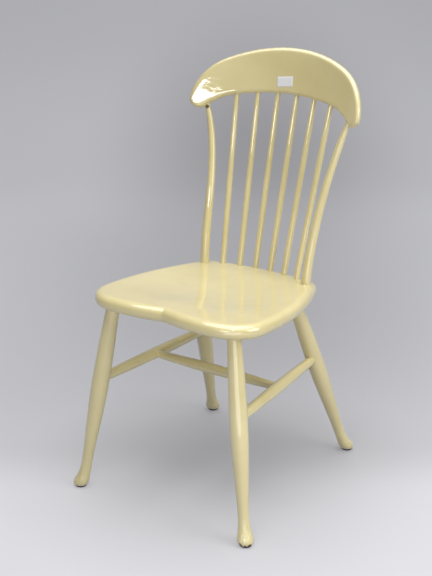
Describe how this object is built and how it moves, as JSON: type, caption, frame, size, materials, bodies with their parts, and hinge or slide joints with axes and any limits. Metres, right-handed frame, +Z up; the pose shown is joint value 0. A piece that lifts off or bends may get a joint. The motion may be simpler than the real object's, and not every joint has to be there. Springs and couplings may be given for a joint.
{
  "type": "windsor side chair",
  "caption": "Painted wooden side chair with a saddled seat, splayed swelled legs on club feet, an H stretcher and a crescent crest rail over bent posts and slim spindles.",
  "frame": {"origin": "on the floor under the middle of the chair's bounding box", "axes": "+Z up, -Y the way the sitter faces, +X to the right seen from the front"},
  "size_m": [0.4562, 0.5354, 0.8931],
  "materials": {
    "cream_paint": "wood under a cream gloss paint",
    "glide": "dark moulded plastic"
  },
  "bodies": {
    "root": {"seat": "cream_paint", "leg_front_left": "cream_paint", "leg_front_right": "cream_paint", "leg_rear_left": "cream_paint", "leg_rear_right": "cream_paint", "glide_front_left": "glide", "glide_front_right": "glide", "glide_rear_left": "glide", "glide_rear_right": "glide", "side_stretcher_left": "cream_paint", "side_stretcher_right": "cream_paint", "medial_stretcher": "cream_paint", "back_post_left": "cream_paint", "back_post_right": "cream_paint", "spindle_1": "cream_paint", "spindle_2": "cream_paint", "spindle_3": "cream_paint", "spindle_4": "cream_paint", "spindle_5": "cream_paint", "spindle_6": "cream_paint", "crest_rail": "cream_paint"}
  },
  "joints": []
}
